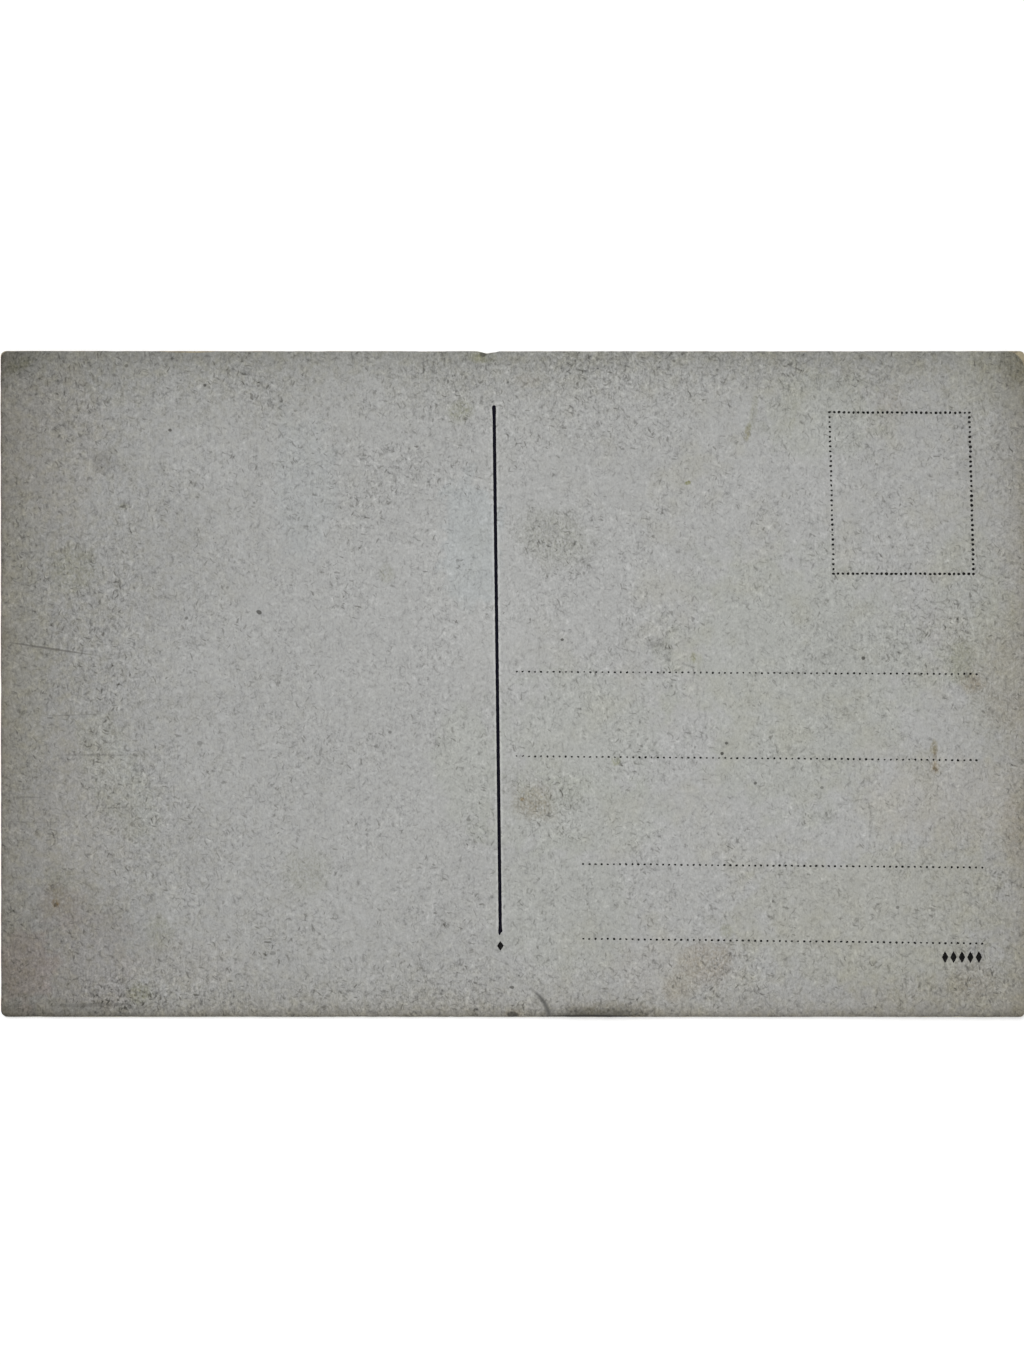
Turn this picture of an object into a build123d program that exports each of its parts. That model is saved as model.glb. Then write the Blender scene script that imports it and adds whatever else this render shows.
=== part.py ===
from build123d import *
from math import cos, radians, sin
import os

# Picture postcard lying with its address side up, in millimetres.
# X runs along the long edge, Y towards the top edge and Z up through the board.
# The origin is under the middle of the card, on the face that it rests on.

# Board, from the picture side up
card_length = 138.4
card_height = 90.0
picture_liner = 0.05
board_core = 0.20
address_liner = 0.05
ink_film = 0.02

# Picture on the underside, inside a pale border
picture_border = 4.5

# Wear at the corners and along the top edge
top_left_wear = 0.8
top_right_wear = 0.7
bottom_left_wear = 0.9
bottom_right_wear = 0.7
liner_fray = 0.3
nick_from_left = 65.9
nick_length = 2.0
nick_depth = 0.3
chip_from_left = 25.4
chip_length = 7.6
chip_depth = 0.22

# Upright rule between the message half and the address half
rule_from_left = 67.1
rule_top_margin = 7.3
rule_bottom_margin = 11.2
rule_width = 0.40
rule_end_width = 0.50
rule_tilt = 0.69

# Dotted box for the stamp, whose rows and sides stand a little off square
stamp_width = 18.9
stamp_height = 21.8
stamp_right_margin = 7.2
stamp_top_margin = 8.3
stamp_row_tilt = -0.13
stamp_side_tilt = 1.41
stamp_dot_pitch = 0.66
stamp_dot_width = 0.42

# Dotted address lines, two long ones and two indented ones
line_gap = 2.65
line_indent = 9.0
long_line_margin = 6.5
short_line_margin = 5.75
first_line_drop = 13.4
last_line_foot = 10.25
second_line_share = 0.318
third_line_share = 0.719
line_tilts = (-0.27, -0.48, -0.48, -0.65)
line_dot_pitch = 0.834
line_dot_width = 0.36

# Lozenge ornaments under the rule and under the last address line
foot_lozenge_width = 0.95
foot_lozenge_height = 1.40
foot_lozenge_gap = 0.90
corner_lozenge_width = 0.92
corner_lozenge_height = 1.70
corner_lozenge_pitch = 1.14
corner_lozenge_count = 5
corner_lozenge_gap = 1.00

# Dots are pressed by round-cornered type, drawn with this many sides
dot_sides = 8

# Heights of the layers
picture_ply_base = ink_film
core_base = picture_ply_base + picture_liner
address_ply_base = core_base + board_core
print_base = address_ply_base + address_liner

# Edges of the card
left_edge = -card_length / 2
right_edge = card_length / 2
top_edge = card_height / 2
bottom_edge = -card_height / 2

# Corner place and wear, once round the card
worn_corners = (
    (left_edge, top_edge, top_left_wear),
    (right_edge, top_edge, top_right_wear),
    (right_edge, bottom_edge, bottom_right_wear),
    (left_edge, bottom_edge, bottom_left_wear),
)


class CardOutline(BaseSketchObject):
    """Card outline with worn corners and the nick that goes through every layer."""

    def __init__(self, fray=0.0, rotation=0, align=None, mode=Mode.ADD):
        with BuildSketch() as outline:
            Rectangle(card_length, card_height)
            for corner_x, corner_y, wear in worn_corners:
                corner = outline.vertices().sort_by_distance((corner_x, corner_y))[0]
                fillet(corner, wear + fray)
            with Locations((left_edge + nick_from_left, top_edge)):
                Ellipse(nick_length / 2, nick_depth, mode=Mode.SUBTRACT)
        super().__init__(outline.sketch, rotation, align, mode)


class DottedRule(BaseSketchObject):
    """Row of dots centred on its middle, with a dot on each end of its length."""

    def __init__(self, length, pitch, dot_width, rotation=0, align=None, mode=Mode.ADD):
        gaps = max(1, round(length / pitch))
        step = length / gaps
        with BuildSketch() as row:
            with GridLocations(step, step, gaps + 1, 1):
                RegularPolygon(dot_width / 2, dot_sides, major_radius=False)
        super().__init__(row.sketch, rotation, align, mode)


class Lozenge(BaseSketchObject):
    """Upright lozenge, the plainest of printers' ornaments."""

    def __init__(self, width, height, rotation=0, align=None, mode=Mode.ADD):
        with BuildSketch() as diamond:
            with BuildLine():
                Polyline(
                    (0, height / 2),
                    (width / 2, 0),
                    (0, -height / 2),
                    (-width / 2, 0),
                    close=True,
                )
            make_face()
        super().__init__(diamond.sketch, rotation, align, mode)


# Printed view on the underside, the face that the card rests on
with BuildPart() as picture_print:
    with BuildSketch():
        Rectangle(card_length - 2 * picture_border, card_height - 2 * picture_border)
    extrude(amount=ink_film)

# Layers of the board
with BuildPart() as picture_ply:
    with BuildSketch(Plane.XY.offset(picture_ply_base)):
        CardOutline(fray=liner_fray)
    extrude(amount=picture_liner)

with BuildPart() as core_ply:
    with BuildSketch(Plane.XY.offset(core_base)):
        CardOutline()
    extrude(amount=board_core)

with BuildPart() as address_ply:
    with BuildSketch(Plane.XY.offset(address_ply_base)):
        CardOutline(fray=liner_fray)
        with Locations((left_edge + chip_from_left, top_edge)):
            Ellipse(chip_length / 2, chip_depth, mode=Mode.SUBTRACT)
    extrude(amount=address_liner)

# Upright rule, a bar whose ends swell where the ink was squeezed out
print_plane = Plane.XY.offset(print_base)
rule_x = left_edge + rule_from_left
rule_top = top_edge - rule_top_margin
rule_bottom = bottom_edge + rule_bottom_margin
rule_length = rule_top - rule_bottom
rule_middle = (rule_x, (rule_top + rule_bottom) / 2)
end_offset = rule_length / 2 - rule_end_width / 2

with BuildPart() as divider_rule:
    with BuildSketch(print_plane):
        with Locations(Location((*rule_middle, 0), (0, 0, rule_tilt))):
            Rectangle(rule_width, 2 * end_offset)
            with Locations((0, end_offset), (0, -end_offset)):
                Circle(rule_end_width / 2)
    extrude(amount=ink_film)

# Stamp box: rows across carry the corner dots, sides fill in between them
stamp_x = right_edge - stamp_right_margin - stamp_width / 2
stamp_y = top_edge - stamp_top_margin - stamp_height / 2
row_angle = radians(stamp_row_tilt)
side_angle = radians(stamp_side_tilt)
to_right = Vector(cos(row_angle), sin(row_angle)) * (stamp_width / 2)
to_top = Vector(-sin(side_angle), cos(side_angle)) * (stamp_height / 2)
stamp_middle = Vector(stamp_x, stamp_y)
side_gaps = max(3, round(stamp_height / stamp_dot_pitch))
side_step = stamp_height / side_gaps
side_length = stamp_height - 2 * side_step
upright = 90


def print_dotted_rule(middle, length, pitch, dot_width, tilt):
    """Film of one dotted rule on the address side."""
    with BuildPart() as rule:
        with BuildSketch(print_plane):
            with Locations((middle.X, middle.Y)):
                DottedRule(length, pitch, dot_width, rotation=tilt)
        extrude(amount=ink_film)
    return rule


stamp_row = (stamp_width, stamp_dot_pitch, stamp_dot_width, stamp_row_tilt)
stamp_side = (side_length, side_step, stamp_dot_width, stamp_side_tilt + upright)
dotted_rules = {
    "stamp_box_top": print_dotted_rule(stamp_middle + to_top, *stamp_row),
    "stamp_box_bottom": print_dotted_rule(stamp_middle - to_top, *stamp_row),
    "stamp_box_left": print_dotted_rule(stamp_middle - to_right, *stamp_side),
    "stamp_box_right": print_dotted_rule(stamp_middle + to_right, *stamp_side),
}

# Address lines, spread between the stamp box and the foot of the card
first_line_y = top_edge - stamp_top_margin - stamp_height - first_line_drop
last_line_y = bottom_edge + last_line_foot
block_height = first_line_y - last_line_y
long_line = (rule_x + line_gap, right_edge - long_line_margin)
short_line = (rule_x + line_gap + line_indent, right_edge - short_line_margin)
address_lines = (
    (first_line_y, *long_line),
    (first_line_y - second_line_share * block_height, *long_line),
    (first_line_y - third_line_share * block_height, *short_line),
    (last_line_y, *short_line),
)
for number, ((line_y, start_x, end_x), tilt) in enumerate(zip(address_lines, line_tilts), start=1):
    middle = Vector((start_x + end_x) / 2, line_y)
    line = print_dotted_rule(middle, end_x - start_x, line_dot_pitch, line_dot_width, tilt)
    dotted_rules[f"address_line_{number}"] = line

# Ornament that hangs under the foot of the rule
rule_foot = Vector(*rule_middle) - Vector(0, rule_length / 2).rotate(Axis.Z, rule_tilt)
with BuildPart() as foot_ornament:
    with BuildSketch(print_plane):
        with Locations((rule_foot.X, rule_foot.Y - foot_lozenge_gap - foot_lozenge_height / 2)):
            Lozenge(foot_lozenge_width, foot_lozenge_height)
    extrude(amount=ink_film)

# Row of ornaments that ends flush with the last address line
line_end_drop = sin(radians(-line_tilts[-1])) * (short_line[1] - short_line[0]) / 2
ornament_length = (corner_lozenge_count - 1) * corner_lozenge_pitch + corner_lozenge_width
ornament_x = short_line[1] - ornament_length / 2
ornament_y = last_line_y - line_end_drop - corner_lozenge_gap - corner_lozenge_height / 2
with BuildPart() as corner_ornament:
    with BuildSketch(print_plane):
        with Locations((ornament_x, ornament_y)):
            with GridLocations(corner_lozenge_pitch, corner_lozenge_pitch, corner_lozenge_count, 1):
                Lozenge(corner_lozenge_width, corner_lozenge_height)
    extrude(amount=ink_film)

# One file for each piece
pieces = {
    "picture_print": picture_print,
    "picture_ply": picture_ply,
    "core_ply": core_ply,
    "address_ply": address_ply,
    "divider_rule": divider_rule,
    **dotted_rules,
    "foot_ornament": foot_ornament,
    "corner_ornament": corner_ornament,
}
os.makedirs("parts", exist_ok=True)
for name, piece in pieces.items():
    piece.part.label = name
    export_step(piece.part, f"parts/{name}.step")
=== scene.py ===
import math
from collections import namedtuple
from functools import reduce
from itertools import starmap

import bpy
import numpy as np
from bpy.props import FloatProperty, FloatVectorProperty, IntProperty, PointerProperty
from mathutils import Matrix, Vector, noise


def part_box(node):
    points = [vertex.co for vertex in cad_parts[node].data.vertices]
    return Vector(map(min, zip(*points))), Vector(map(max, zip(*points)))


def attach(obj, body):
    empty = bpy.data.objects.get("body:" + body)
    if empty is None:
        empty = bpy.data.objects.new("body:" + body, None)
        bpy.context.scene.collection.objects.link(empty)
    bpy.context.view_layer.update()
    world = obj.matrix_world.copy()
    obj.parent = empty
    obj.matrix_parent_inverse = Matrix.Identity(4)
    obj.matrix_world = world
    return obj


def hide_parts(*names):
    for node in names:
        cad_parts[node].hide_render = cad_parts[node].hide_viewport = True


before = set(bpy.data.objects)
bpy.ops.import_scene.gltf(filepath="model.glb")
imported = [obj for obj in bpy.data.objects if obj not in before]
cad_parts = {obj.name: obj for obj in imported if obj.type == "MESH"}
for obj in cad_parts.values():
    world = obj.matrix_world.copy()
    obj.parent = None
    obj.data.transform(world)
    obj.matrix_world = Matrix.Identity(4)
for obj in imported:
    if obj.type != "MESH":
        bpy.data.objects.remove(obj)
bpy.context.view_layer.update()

# An old divided-back postcard, address side up: three plies of pulp board, the printed
# rules on them and the printed view underneath, laid on a plain pale floor.

bl_info = {
    "name": "Old Postcard",
    "version": (1, 0, 0),
    "blender": (4, 5, 0),
    "location": "View3D > Sidebar > Postcard",
    "description": "Builds a worn postcard ply by ply and dresses its printed rules",
    "category": "Add Mesh",
}

MM = 0.001


def packed_box(node):
    """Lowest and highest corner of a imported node, in millimetres."""
    return [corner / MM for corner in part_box(node)]


def layer(node):
    """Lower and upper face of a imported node, in millimetres."""
    low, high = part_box(node)
    return low.z / MM, high.z / MM


# Card and layer sizes in millimetres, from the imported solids
CORE_BOX = packed_box("core_ply")
CARD_LENGTH = CORE_BOX[1].x - CORE_BOX[0].x
CARD_HEIGHT = CORE_BOX[1].y - CORE_BOX[0].y
HALF_LENGTH = CARD_LENGTH / 2
HALF_HEIGHT = CARD_HEIGHT / 2
CARD_TOP = layer("address_ply")[1]
INK_FILM = layer("divider_rule")[1] - CARD_TOP

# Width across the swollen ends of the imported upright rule
RULE_END = 0.50

# Wear of the outline, in millimetres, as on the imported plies
CORNER_WEAR = {"top_left": 0.8, "top_right": 0.7, "bottom_left": 0.9, "bottom_right": 0.7}
CORNER_SIDES = {
    "top_left": (-1, 1), "top_right": (1, 1), "bottom_left": (-1, -1), "bottom_right": (1, -1),
}
LINER_FRAY = 0.3
PICTURE_FRAY = dict.fromkeys(CORNER_WEAR, LINER_FRAY)
NICK_X = -3.3
NICK_LENGTH = 2.0
NICK_DEPTH = 0.3
CHIP_X = -43.8
CHIP_LENGTH = 7.6
CHIP_DEPTH = 0.22

# Wear that only the dressed plies have: the address ply peeled back corner by corner, and fuzzy edges
ADDRESS_FRAY = {"top_left": 0.4, "top_right": 1.9, "bottom_left": 0.0, "bottom_right": 0.1}
LINER_FUZZ = 0.07
CORE_FUZZ = 0.05

# Bend crease that runs into the bottom edge: part of a circle
CREASE_CENTRE = (-0.65, -45.9)
CREASE_RADIUS = 5.66
CREASE_WIDTH = 0.58
CREASE_HEAD = -40.8
CREASE_FOOT = -43.8
CREASE_FADE = 1.6
CREASE_LEFT_END = (1.5, 3.0)

# Spacing of the mesh lines, at the edges of a sheet and inside it
ADDRESS_EDGE_STEP = 0.09
EDGE_STEP = 0.12
VIEW_EDGE_STEP = 0.3
PLAIN_STEP = 1.2

# Places where the board stands off the table: x, y, reach along x and y, share of the cockle
LIFTED_SPOTS = (
    (-HALF_LENGTH, HALF_HEIGHT, 34.0, 34.0, 1.0),
    (HALF_LENGTH, -HALF_HEIGHT, 30.0, 26.0, 0.8),
    (HALF_LENGTH, HALF_HEIGHT, 26.0, 24.0, 0.45),
    (12.5, -HALF_HEIGHT, 8.0, 5.0, 0.7),
)

# Marks on the address side, in millimetres from the middle of the card:
# x, y, half length, half height, strength and, for a turned mark, its angle in degrees
Mark = namedtuple("Mark", "x y half_x half_y strength turn", defaults=(0,))
SOIL_AND_SHADE_MARKS = (
    (5.6, 19.9, 5.2, 3.8, 0.55, -20), (10, 16.2, 1.6, 1.2, 0.75, -35),
    (-14.5, 28.7, 1.9, 1.5, 0.85, -30), (-54.9, 30.2, 1.6, 1.6, 1.3, 10), (19.5, 5.5, 1.5, 1, 2, -20),
    (60.7, 3.7, 1.6, 2.8, 0.45), (66, 40, 4, 6, 0.35), (44.8, 5.2, 5.4, 5, 0.35),
    (61.3, 28.9, 1.6, 1.4, 0.42), (14.1, -10.3, 0.3, 0.28, 2), (49.5, -31.5, 19, 9, 0.22, 4),
    (64.5, 2, 4, 12, 0.25), (-58, -37.5, 14, 9.5, 0.6), (-61, -44.3, 11, 1.3, 0.4),
    # The mark at (11.2, -44.7) here and the one at (12.4, -44.2) below darken the paper beside the
    # lifted bottom edge: soiling and painted shade
    (67.5, 37, 2.4, 9, 0.8), (-68, 43.6, 3, 2.2, 0.7), (11.2, -44.7, 6.2, 0.9, 2.3),
    (12.4, -44.2, 5.4, 1.4, 0.8), (43, -18, 1, 0.8, 0.9), (7.6, -15.6, 1.9, 1.5, 0.6),
)
OLIVE_MARKS = (
    (5.6, 19.9, 5, 3.6, 0.6, -20), (-7.1, 36.9, 1.8, 1.3, 1.25, 15), (-59.4, 15.5, 3.2, 3, 0.95),
    (-27.8, -25.5, 3.2, 3.4, 0.6), (-17, 14.9, 0.9, 1.2, 0.85), (23.7, 27.2, 0.42, 0.25, 4, 15),
    (24.4, 3.7, 0.4, 0.75, 1.2), (25, 3.4, 0.8, 0.9, 0.6), (14, -10.5, 0.6, 0.55, 1.9),
    (28.9, -33.5, 0.9, 1, 1.05), (-47.7, -33.5, 1.8, 2.2, 0.8), (-61.2, -26.8, 1.9, 2, 0.7),
    (-52.6, 24, 0.6, 0.42, 1), (60.8, 3.4, 1.5, 2.6, 0.65), (31.75, 34.1, 0.4, 1.2, 2, -8),
    (32.6, 37, 0.5, 2.4, 0.8, -10), (37.9, 36.2, 0.4, 2.6, 0.45, -8), (-50.4, -41.8, 1.6, 1.3, 1.5),
    (4.4, -14, 5.6, 3.7, 0.4, -10), (55.4, -10.9, 3, 2.2, 0.45), (57, -8.5, 0.5, 0.9, 1.1),
    # The mark at (13.2, -44.3) tints the painted shade beside the lifted bottom edge
    (-4.2, 44.2, 1.9, 0.8, 1.6), (-66.8, 43, 2.4, 1, 1, 30), (13.2, -44.3, 5, 1.2, 0.5),
    (67.8, 43, 2, 2.4, 0.6),
)
BROWN_MARKS = (
    (2.7, -15.8, 2.7, 2.2, 0.66, 20), (4.2, -17.2, 2.2, 1.2, 0.35, -30), (1.3, -15.6, 0.3, 0.24, 2),
    (57, -8.6, 0.5, 0.95, 0.95), (57.1, -11.3, 0.6, 0.85, 0.9), (57.1, -11.5, 0.26, 0.4, 1.4, 30),
    (57.1, -10, 0.3, 1, 0.7), (31.7, 33.9, 0.34, 0.9, 0.8, -5), (-61.4, -29.4, 2.6, 2.4, 0.5),
    (-61.8, -29.7, 0.6, 0.55, 1.5), (-66.4, -38.8, 3.5, 5, 0.3), (26.2, -37.5, 3.8, 2.8, 0.75, 10),
    (62.1, 0, 1.7, 1.3, 0.75), (68, -20, 1.8, 4, 0.5), (58.5, 7.5, 3.4, 3, 0.25),
    (64.5, 3, 3.6, 5, 0.3), (66.5, -3.5, 2.6, 2.6, 0.4), (62, -39.5, 3, 3, 0.4),
    (67.5, 42.5, 2, 2.5, 0.3), (1.9, 41, 1.7, 1, 0.35), (51, 37.9, 1.8, 2.2, 0.4),
    (56.5, -41.4, 10, 2.2, 0.25, 3), (0, -44.7, 1.2, 0.7, 0.8), (22, -41.4, 1.8, 1.6, 0.5),
    # This mark tints the painted shade beside the lifted bottom edge
    (13.5, -44.2, 6, 1.2, 0.5),
)
SPECKS_AND_SHADOW_LINE = (
    (-34.3, 9.7, 0.37, 0.27, 0.86, -25), (47.4, 3.5, 0.26, 0.24, 0.9), (6.7, 6, 0.22, 0.18, 0.88),
    (28.9, -8, 0.22, 0.19, 0.82), (28.3, -9.4, 0.22, 0.22, 0.98), (32.8, -13.4, 0.22, 0.2, 0.75),
    (-46.3, 34.3, 0.24, 0.21, 0.82), (-44.1, 8.9, 0.24, 0.21, 0.58), (-42.3, -8, 0.34, 0.32, 0.38),
    (57.1, -11.5, 0.24, 0.36, 0.45, 30), (-51.5, -18.9, 0.27, 0.24, 0.4), (-52.6, 24, 0.36, 0.22, 0.42),
    (-6.4, 35.9, 0.26, 0.2, 0.5, 20), (-16.6, -6.5, 0.24, 0.21, 0.58), (-61.8, -29.9, 0.27, 0.24, 0.6),
    (-20.2, -37.1, 0.21, 0.56, 0.33), (-32.4, -36.4, 0.4, 0.29, 0.4), (-0.1, -41, 0.32, 0.21, 0.8),
    (0, -44.7, 0.8, 0.4, 0.8), (-4, 44.6, 0.48, 0.35, 0.7), (-4.2, 38.3, 0.24, 0.76, 0.32),
    (35.2, -29.4, 0.2, 0.18, 0.7), (-52.2, 43, 0.26, 0.22, 0.6), (-41.6, 40.4, 0.22, 0.2, 0.85),
    # The last speck here, a thin dark line along the bottom edge from x 4.5 to 16.5, is painted shadow
    # under the lifted edge
    (41.8, -14, 0.22, 0.2, 0.6), (52, -30.2, 0.24, 0.22, 0.6), (10.5, -44.98, 6, 0.26, 1.15),
)
SCRATCHES = (
    (-62.6, 4.8, 5.6, 0.14, 1.15, -8.5), (-56.5, -9.6, 4.6, 0.13, 0.5),
    (-64.2, -18.7, 4.4, 0.11, 0.42, -1), (-53.5, -16.7, 3, 0.11, 0.42, 3),
    (-65.6, -15.3, 2.6, 0.1, 0.5), (-59.5, -4.2, 3.2, 0.1, 0.5, 2),
    (-56.5, -43.4, 5.6, 0.26, 0.75, 1.5), (-10.6, -24.9, 1.28, 0.1, 0.22, 12),
)

# Zones where handling has raised the fibres and rubbed dirt between them
ROUGH_ZONES = (
    (0, 40, 24, 5, 0.4), (22, 42.2, 24, 3.6, 0.55), (-50, 40.5, 16, 4, 0.25),
    (-37, -42.8, 32, 2.8, 0.45), (12, 0, 30, 46, 0.14), (52, 0, 14, 40, 0.12),
    (-16.5, 30.8, 4.5, 2.2, 0.5), (-16, 27.5, 5, 3, 0.4), (6, 19, 6.5, 5, 0.4, -20),
    (17.5, 6, 6, 5, 0.2), (53, 6, 6, 5, 0.35), (62, 6, 5, 7, 0.4), (-52, -15, 5.5, 8, 0.6, 15),
    (-57, 10, 8, 11, 0.4), (-52, -41, 8, 3.2, 0.8), (2, -41, 14, 4, 0.5), (28.8, -40, 6, 5, 0.6),
    (63.5, -39, 6, 5, 0.6), (5.5, -15.5, 6, 5, 0.4),
)

# Places where dark flecks crowd together
FLECK_CLUSTERS = (
    (-16.5, 30.6, 4.5, 2.2, 0.35), (-50.5, -42.2, 8, 1.7, 0.8), (-56.5, -43.3, 7, 0.9, 0.8),
    (-33, -36.5, 2.4, 1.8, 0.9), (5.6, 19.9, 5.2, 3.8, 0.18, -20), (10, 16.2, 2, 1.6, 0.5),
    (19.5, 5.5, 2, 1.5, 0.9), (7.4, -15.4, 2.4, 1.9, 0.5), (-55, -16, 5, 8, 0.25),
    (58.5, 7, 3, 3, 0.35), (26, -40, 5, 3, 0.5), (12, -42.5, 7, 2, 0.2), (63, -38, 3.5, 4, 0.6),
)

# Broad zones where the paper is paler, or leans to a tint, and one pale zone of painted light
PALE_ZONES = (
    (57, -4, 7, 3.4, 0.9), (64.5, -16.5, 3.2, 4.2, 1.3), (47, -20.5, 8, 3, 0.4), (55, 27, 6, 6, 0.9),
    # The pale zone at (1.2, -42.8) is painted light on the bent part beside the crease
    (-61, -19, 4, 6, 0.2), (-4.5, 15, 7, 13, 1.2), (3, 6, 8, 7, 0.9), (1.2, -42.8, 2.2, 1.8, 1.6),
)
COOL_ZONES = (
    (-5.7, 19.1, 4, 8.6, 1.2), (-28.5, 26.7, 4.2, 9.6, 0.6),
)
GREEN_ZONES = (
    (38.5, 0, 17, 17, 0.9), (9, -7, 12, 8, 0.8), (9.5, -18, 11.5, 5, 0.8), (-6.2, -10.9, 4.5, 7.5, 0.9),
    (6.5, -31, 8.5, 9, 0.7), (41.2, 35.6, 7, 6, 0.8), (-54, -12, 3.5, 9, 0.8, 25),
    (61.5, 12, 5, 11, 0.7),
)
YELLOW_ZONES = (
    (49.5, -31.5, 19, 9, 0.9, 4), (64.5, 2, 4, 12, 0.7), (65, 41, 6, 5, 0.7), (-66, 5, 3.5, 20, 0.5),
    (58, -39.5, 12, 4, 0.5),
)
PINK_ZONES = (
    (-60.7, 31, 6, 11, 0.7), (-58.5, -18, 6.5, 13, 0.7), (56.4, -15, 10, 6.5, 0.8),
    (-45, -37.5, 9, 3.5, 0.6), (22, -38.5, 8, 4.5, 0.7),
)
ROSE_ZONES = (
    (-65.8, -38.5, 3.8, 5.6, 0.85), (-61.4, -29.6, 3, 2.8, 0.25), (-57.5, -38.5, 7, 6.5, 0.3),
)
ZONE_TINTS = (
    (COOL_ZONES, (0.985, 1.010, 1.025)),
    (GREEN_ZONES, (0.988, 1.0, 0.965)),
    (YELLOW_ZONES, (1.0, 0.998, 0.945)),
    (PINK_ZONES, (1.012, 0.995, 0.978)),
    (ROSE_ZONES, (1.01, 0.945, 0.945)),
)

# Grey soiling and painted shade, brown toning and a yellow tint that die away from the edges: pairs of
# reach and strength
EDGE_SOIL_AND_SHADE = {
    # The grey is partly painted shade, where the light falls off towards the edges, most of all on the
    # left.
    # The narrow grey fades at the left and the bottom edge paint a shadow line along the cut edge.
    "left": ((20.0, 0.435), (0.3, 0.22)),
    "right": ((15.0, 0.198), (1.2, 0.08)),
    "top": ((3.7, 0.30), (18.0, 0.05)),
    "bottom": ((4.0, 0.15), (16.0, 0.09), (0.6, 0.34)),
}
EDGE_TAN = {
    "left": ((1.6, 0.10), (9.0, 0.11)),
    "right": ((1.8, 0.12), (9.0, 0.05)),
    "bottom": ((1.4, 0.17), (8.0, 0.03)),
}
TOP_YELLOW = (4.0, 0.8)

# Fibres of the pulp: turn, share of a fleck's width and of its length, seed
FELT_FIBRES = ((4, 1.0, 1.0, 3.0), (64, 1.0, 0.75, 17.0), (-58, 1.0, 0.75, 41.0))
DARK_FIBRES = ((4, 1.5, 1.15, 3.0), (-30, 1.6, 1.1, 17.0), (37, 1.6, 1.0, 29.0), (-74, 1.9, 0.95, 53.0))

# Specks of bark and straw in the pulp: turn, pitch across and along, seed
STRAWS = ((28, 0.56, 2.1, 23.0), (75, 0.54, 1.9, 61.0), (-25, 0.60, 1.8, 83.0))

# What a wash of dirt, age or painted shade leaves of the light, and the colours of what covers the paper
# and of painted shade and shadow
TEA_WASH = (0.985, 0.975, 0.925)
DUST_WASH = (0.975, 0.962, 0.895)
# Also tints the painted shade beside the lifted bottom edge
RUST_AND_SHADE_WASH = (0.55, 0.40, 0.20)
OLIVE_WASH = (0.50, 0.51, 0.20)
FOXING_WASH = (0.62, 0.45, 0.26)
# Black of soiling and of painted shade along the edges and beside the lifted bottom edge
GRIME_AND_SHADE = (0.0, 0.0, 0.0)
DARK_FIBRE = (0.068, 0.065, 0.056)
SCRATCH_GREY = (0.090, 0.086, 0.077)
# Grey of the crease line: dirt and painted shade in the fold
CREASE_GREY = (0.077, 0.077, 0.072)
# Darkest grey: specks, and the painted shadow line under the lifted bottom edge
SPECK_AND_SHADOW_DARK = (0.041, 0.039, 0.034)

# Darker layers and pale fibres of the raw pulp
CORE_STRATA = (0.153, 0.135, 0.104)
CORE_FIBRE = (0.396, 0.369, 0.306)

# Sepia inks of the printed view
DUSK = (0.30, 0.235, 0.165)
FAR_HILLS = (0.33, 0.27, 0.195)
NEAR_HILLS = (0.185, 0.142, 0.097)
SHORE = (0.085, 0.062, 0.042)
WATER = (0.16, 0.125, 0.088)
GRASS = (0.20, 0.155, 0.105)
GRASS_SHADE = (0.045, 0.032, 0.021)
LEAF_SHADE = (0.04, 0.03, 0.02)

# Lines of hills, far to near: base, rise and span in millimetres, seed and ink
HILLS = (
    (13.0, 26.0, 34.0, 2.0, FAR_HILLS),
    (6.0, 18.0, 21.0, 9.0, NEAR_HILLS),
    (1.6, 5.0, 9.0, 23.0, SHORE),
)
BANK = (-27.0, 16.0, 30.0, 41.0)
HORIZON = -4.0

# Trees of the printed view, drawn as marks: crowns, then trunks and bushes
VIEW_TREES = (
    (46, 9, 7, 8, 1), (41, 1, 6.5, 5, 1, 20), (52, 1, 6, 6, 1), (57.5, -6, 6, 7, 1),
    (47, -6, 8, 4.5, 1, -10), (37, -8, 4, 3, 1), (46.5, -18, 0.9, 13, 1, 3), (56, -20, 0.7, 9, 1, -4),
    (42.5, -9.5, 0.5, 7, 1, 38), (-50, -21, 9, 5, 1), (-38, -24, 7, 3.5, 1),
)

# Dotted rules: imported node, number of dots, whether it stands upright, dot length and width, inset
# of the end dots, wander, and how starved of ink the rule is at its two ends
DottedRule = namedtuple("DottedRule", "node dots upright length width inset wander dry_start dry_end")
STAMP_RULES = (
    DottedRule("stamp_box_top", 30, False, 0.46, 0.40, 0.21, 0.035, 0.14, 0.24),
    DottedRule("stamp_box_bottom", 30, False, 0.49, 0.43, 0.21, 0.035, 0.16, 0.05),
    DottedRule("stamp_box_left", 32, True, 0.41, 0.37, 0.21, 0.035, 0.40, 0.38),
    DottedRule("stamp_box_right", 32, True, 0.47, 0.43, 0.21, 0.035, 0.08, 0.28),
)
ADDRESS_RULES = (
    DottedRule("address_line_1", 76, False, 0.37, 0.32, 0.18, 0.03, 0.70, 0.22),
    DottedRule("address_line_2", 76, False, 0.37, 0.32, 0.18, 0.03, 0.70, 0.12),
    DottedRule("address_line_3", 66, False, 0.39, 0.33, 0.18, 0.03, 0.38, 0.14),
    DottedRule("address_line_4", 66, False, 0.40, 0.34, 0.18, 0.03, 0.42, 0.10),
)

# Lozenges in each printed ornament
ORNAMENTS = {"foot_ornament": 1, "corner_ornament": 5}


# Settings that a user would change

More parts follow.
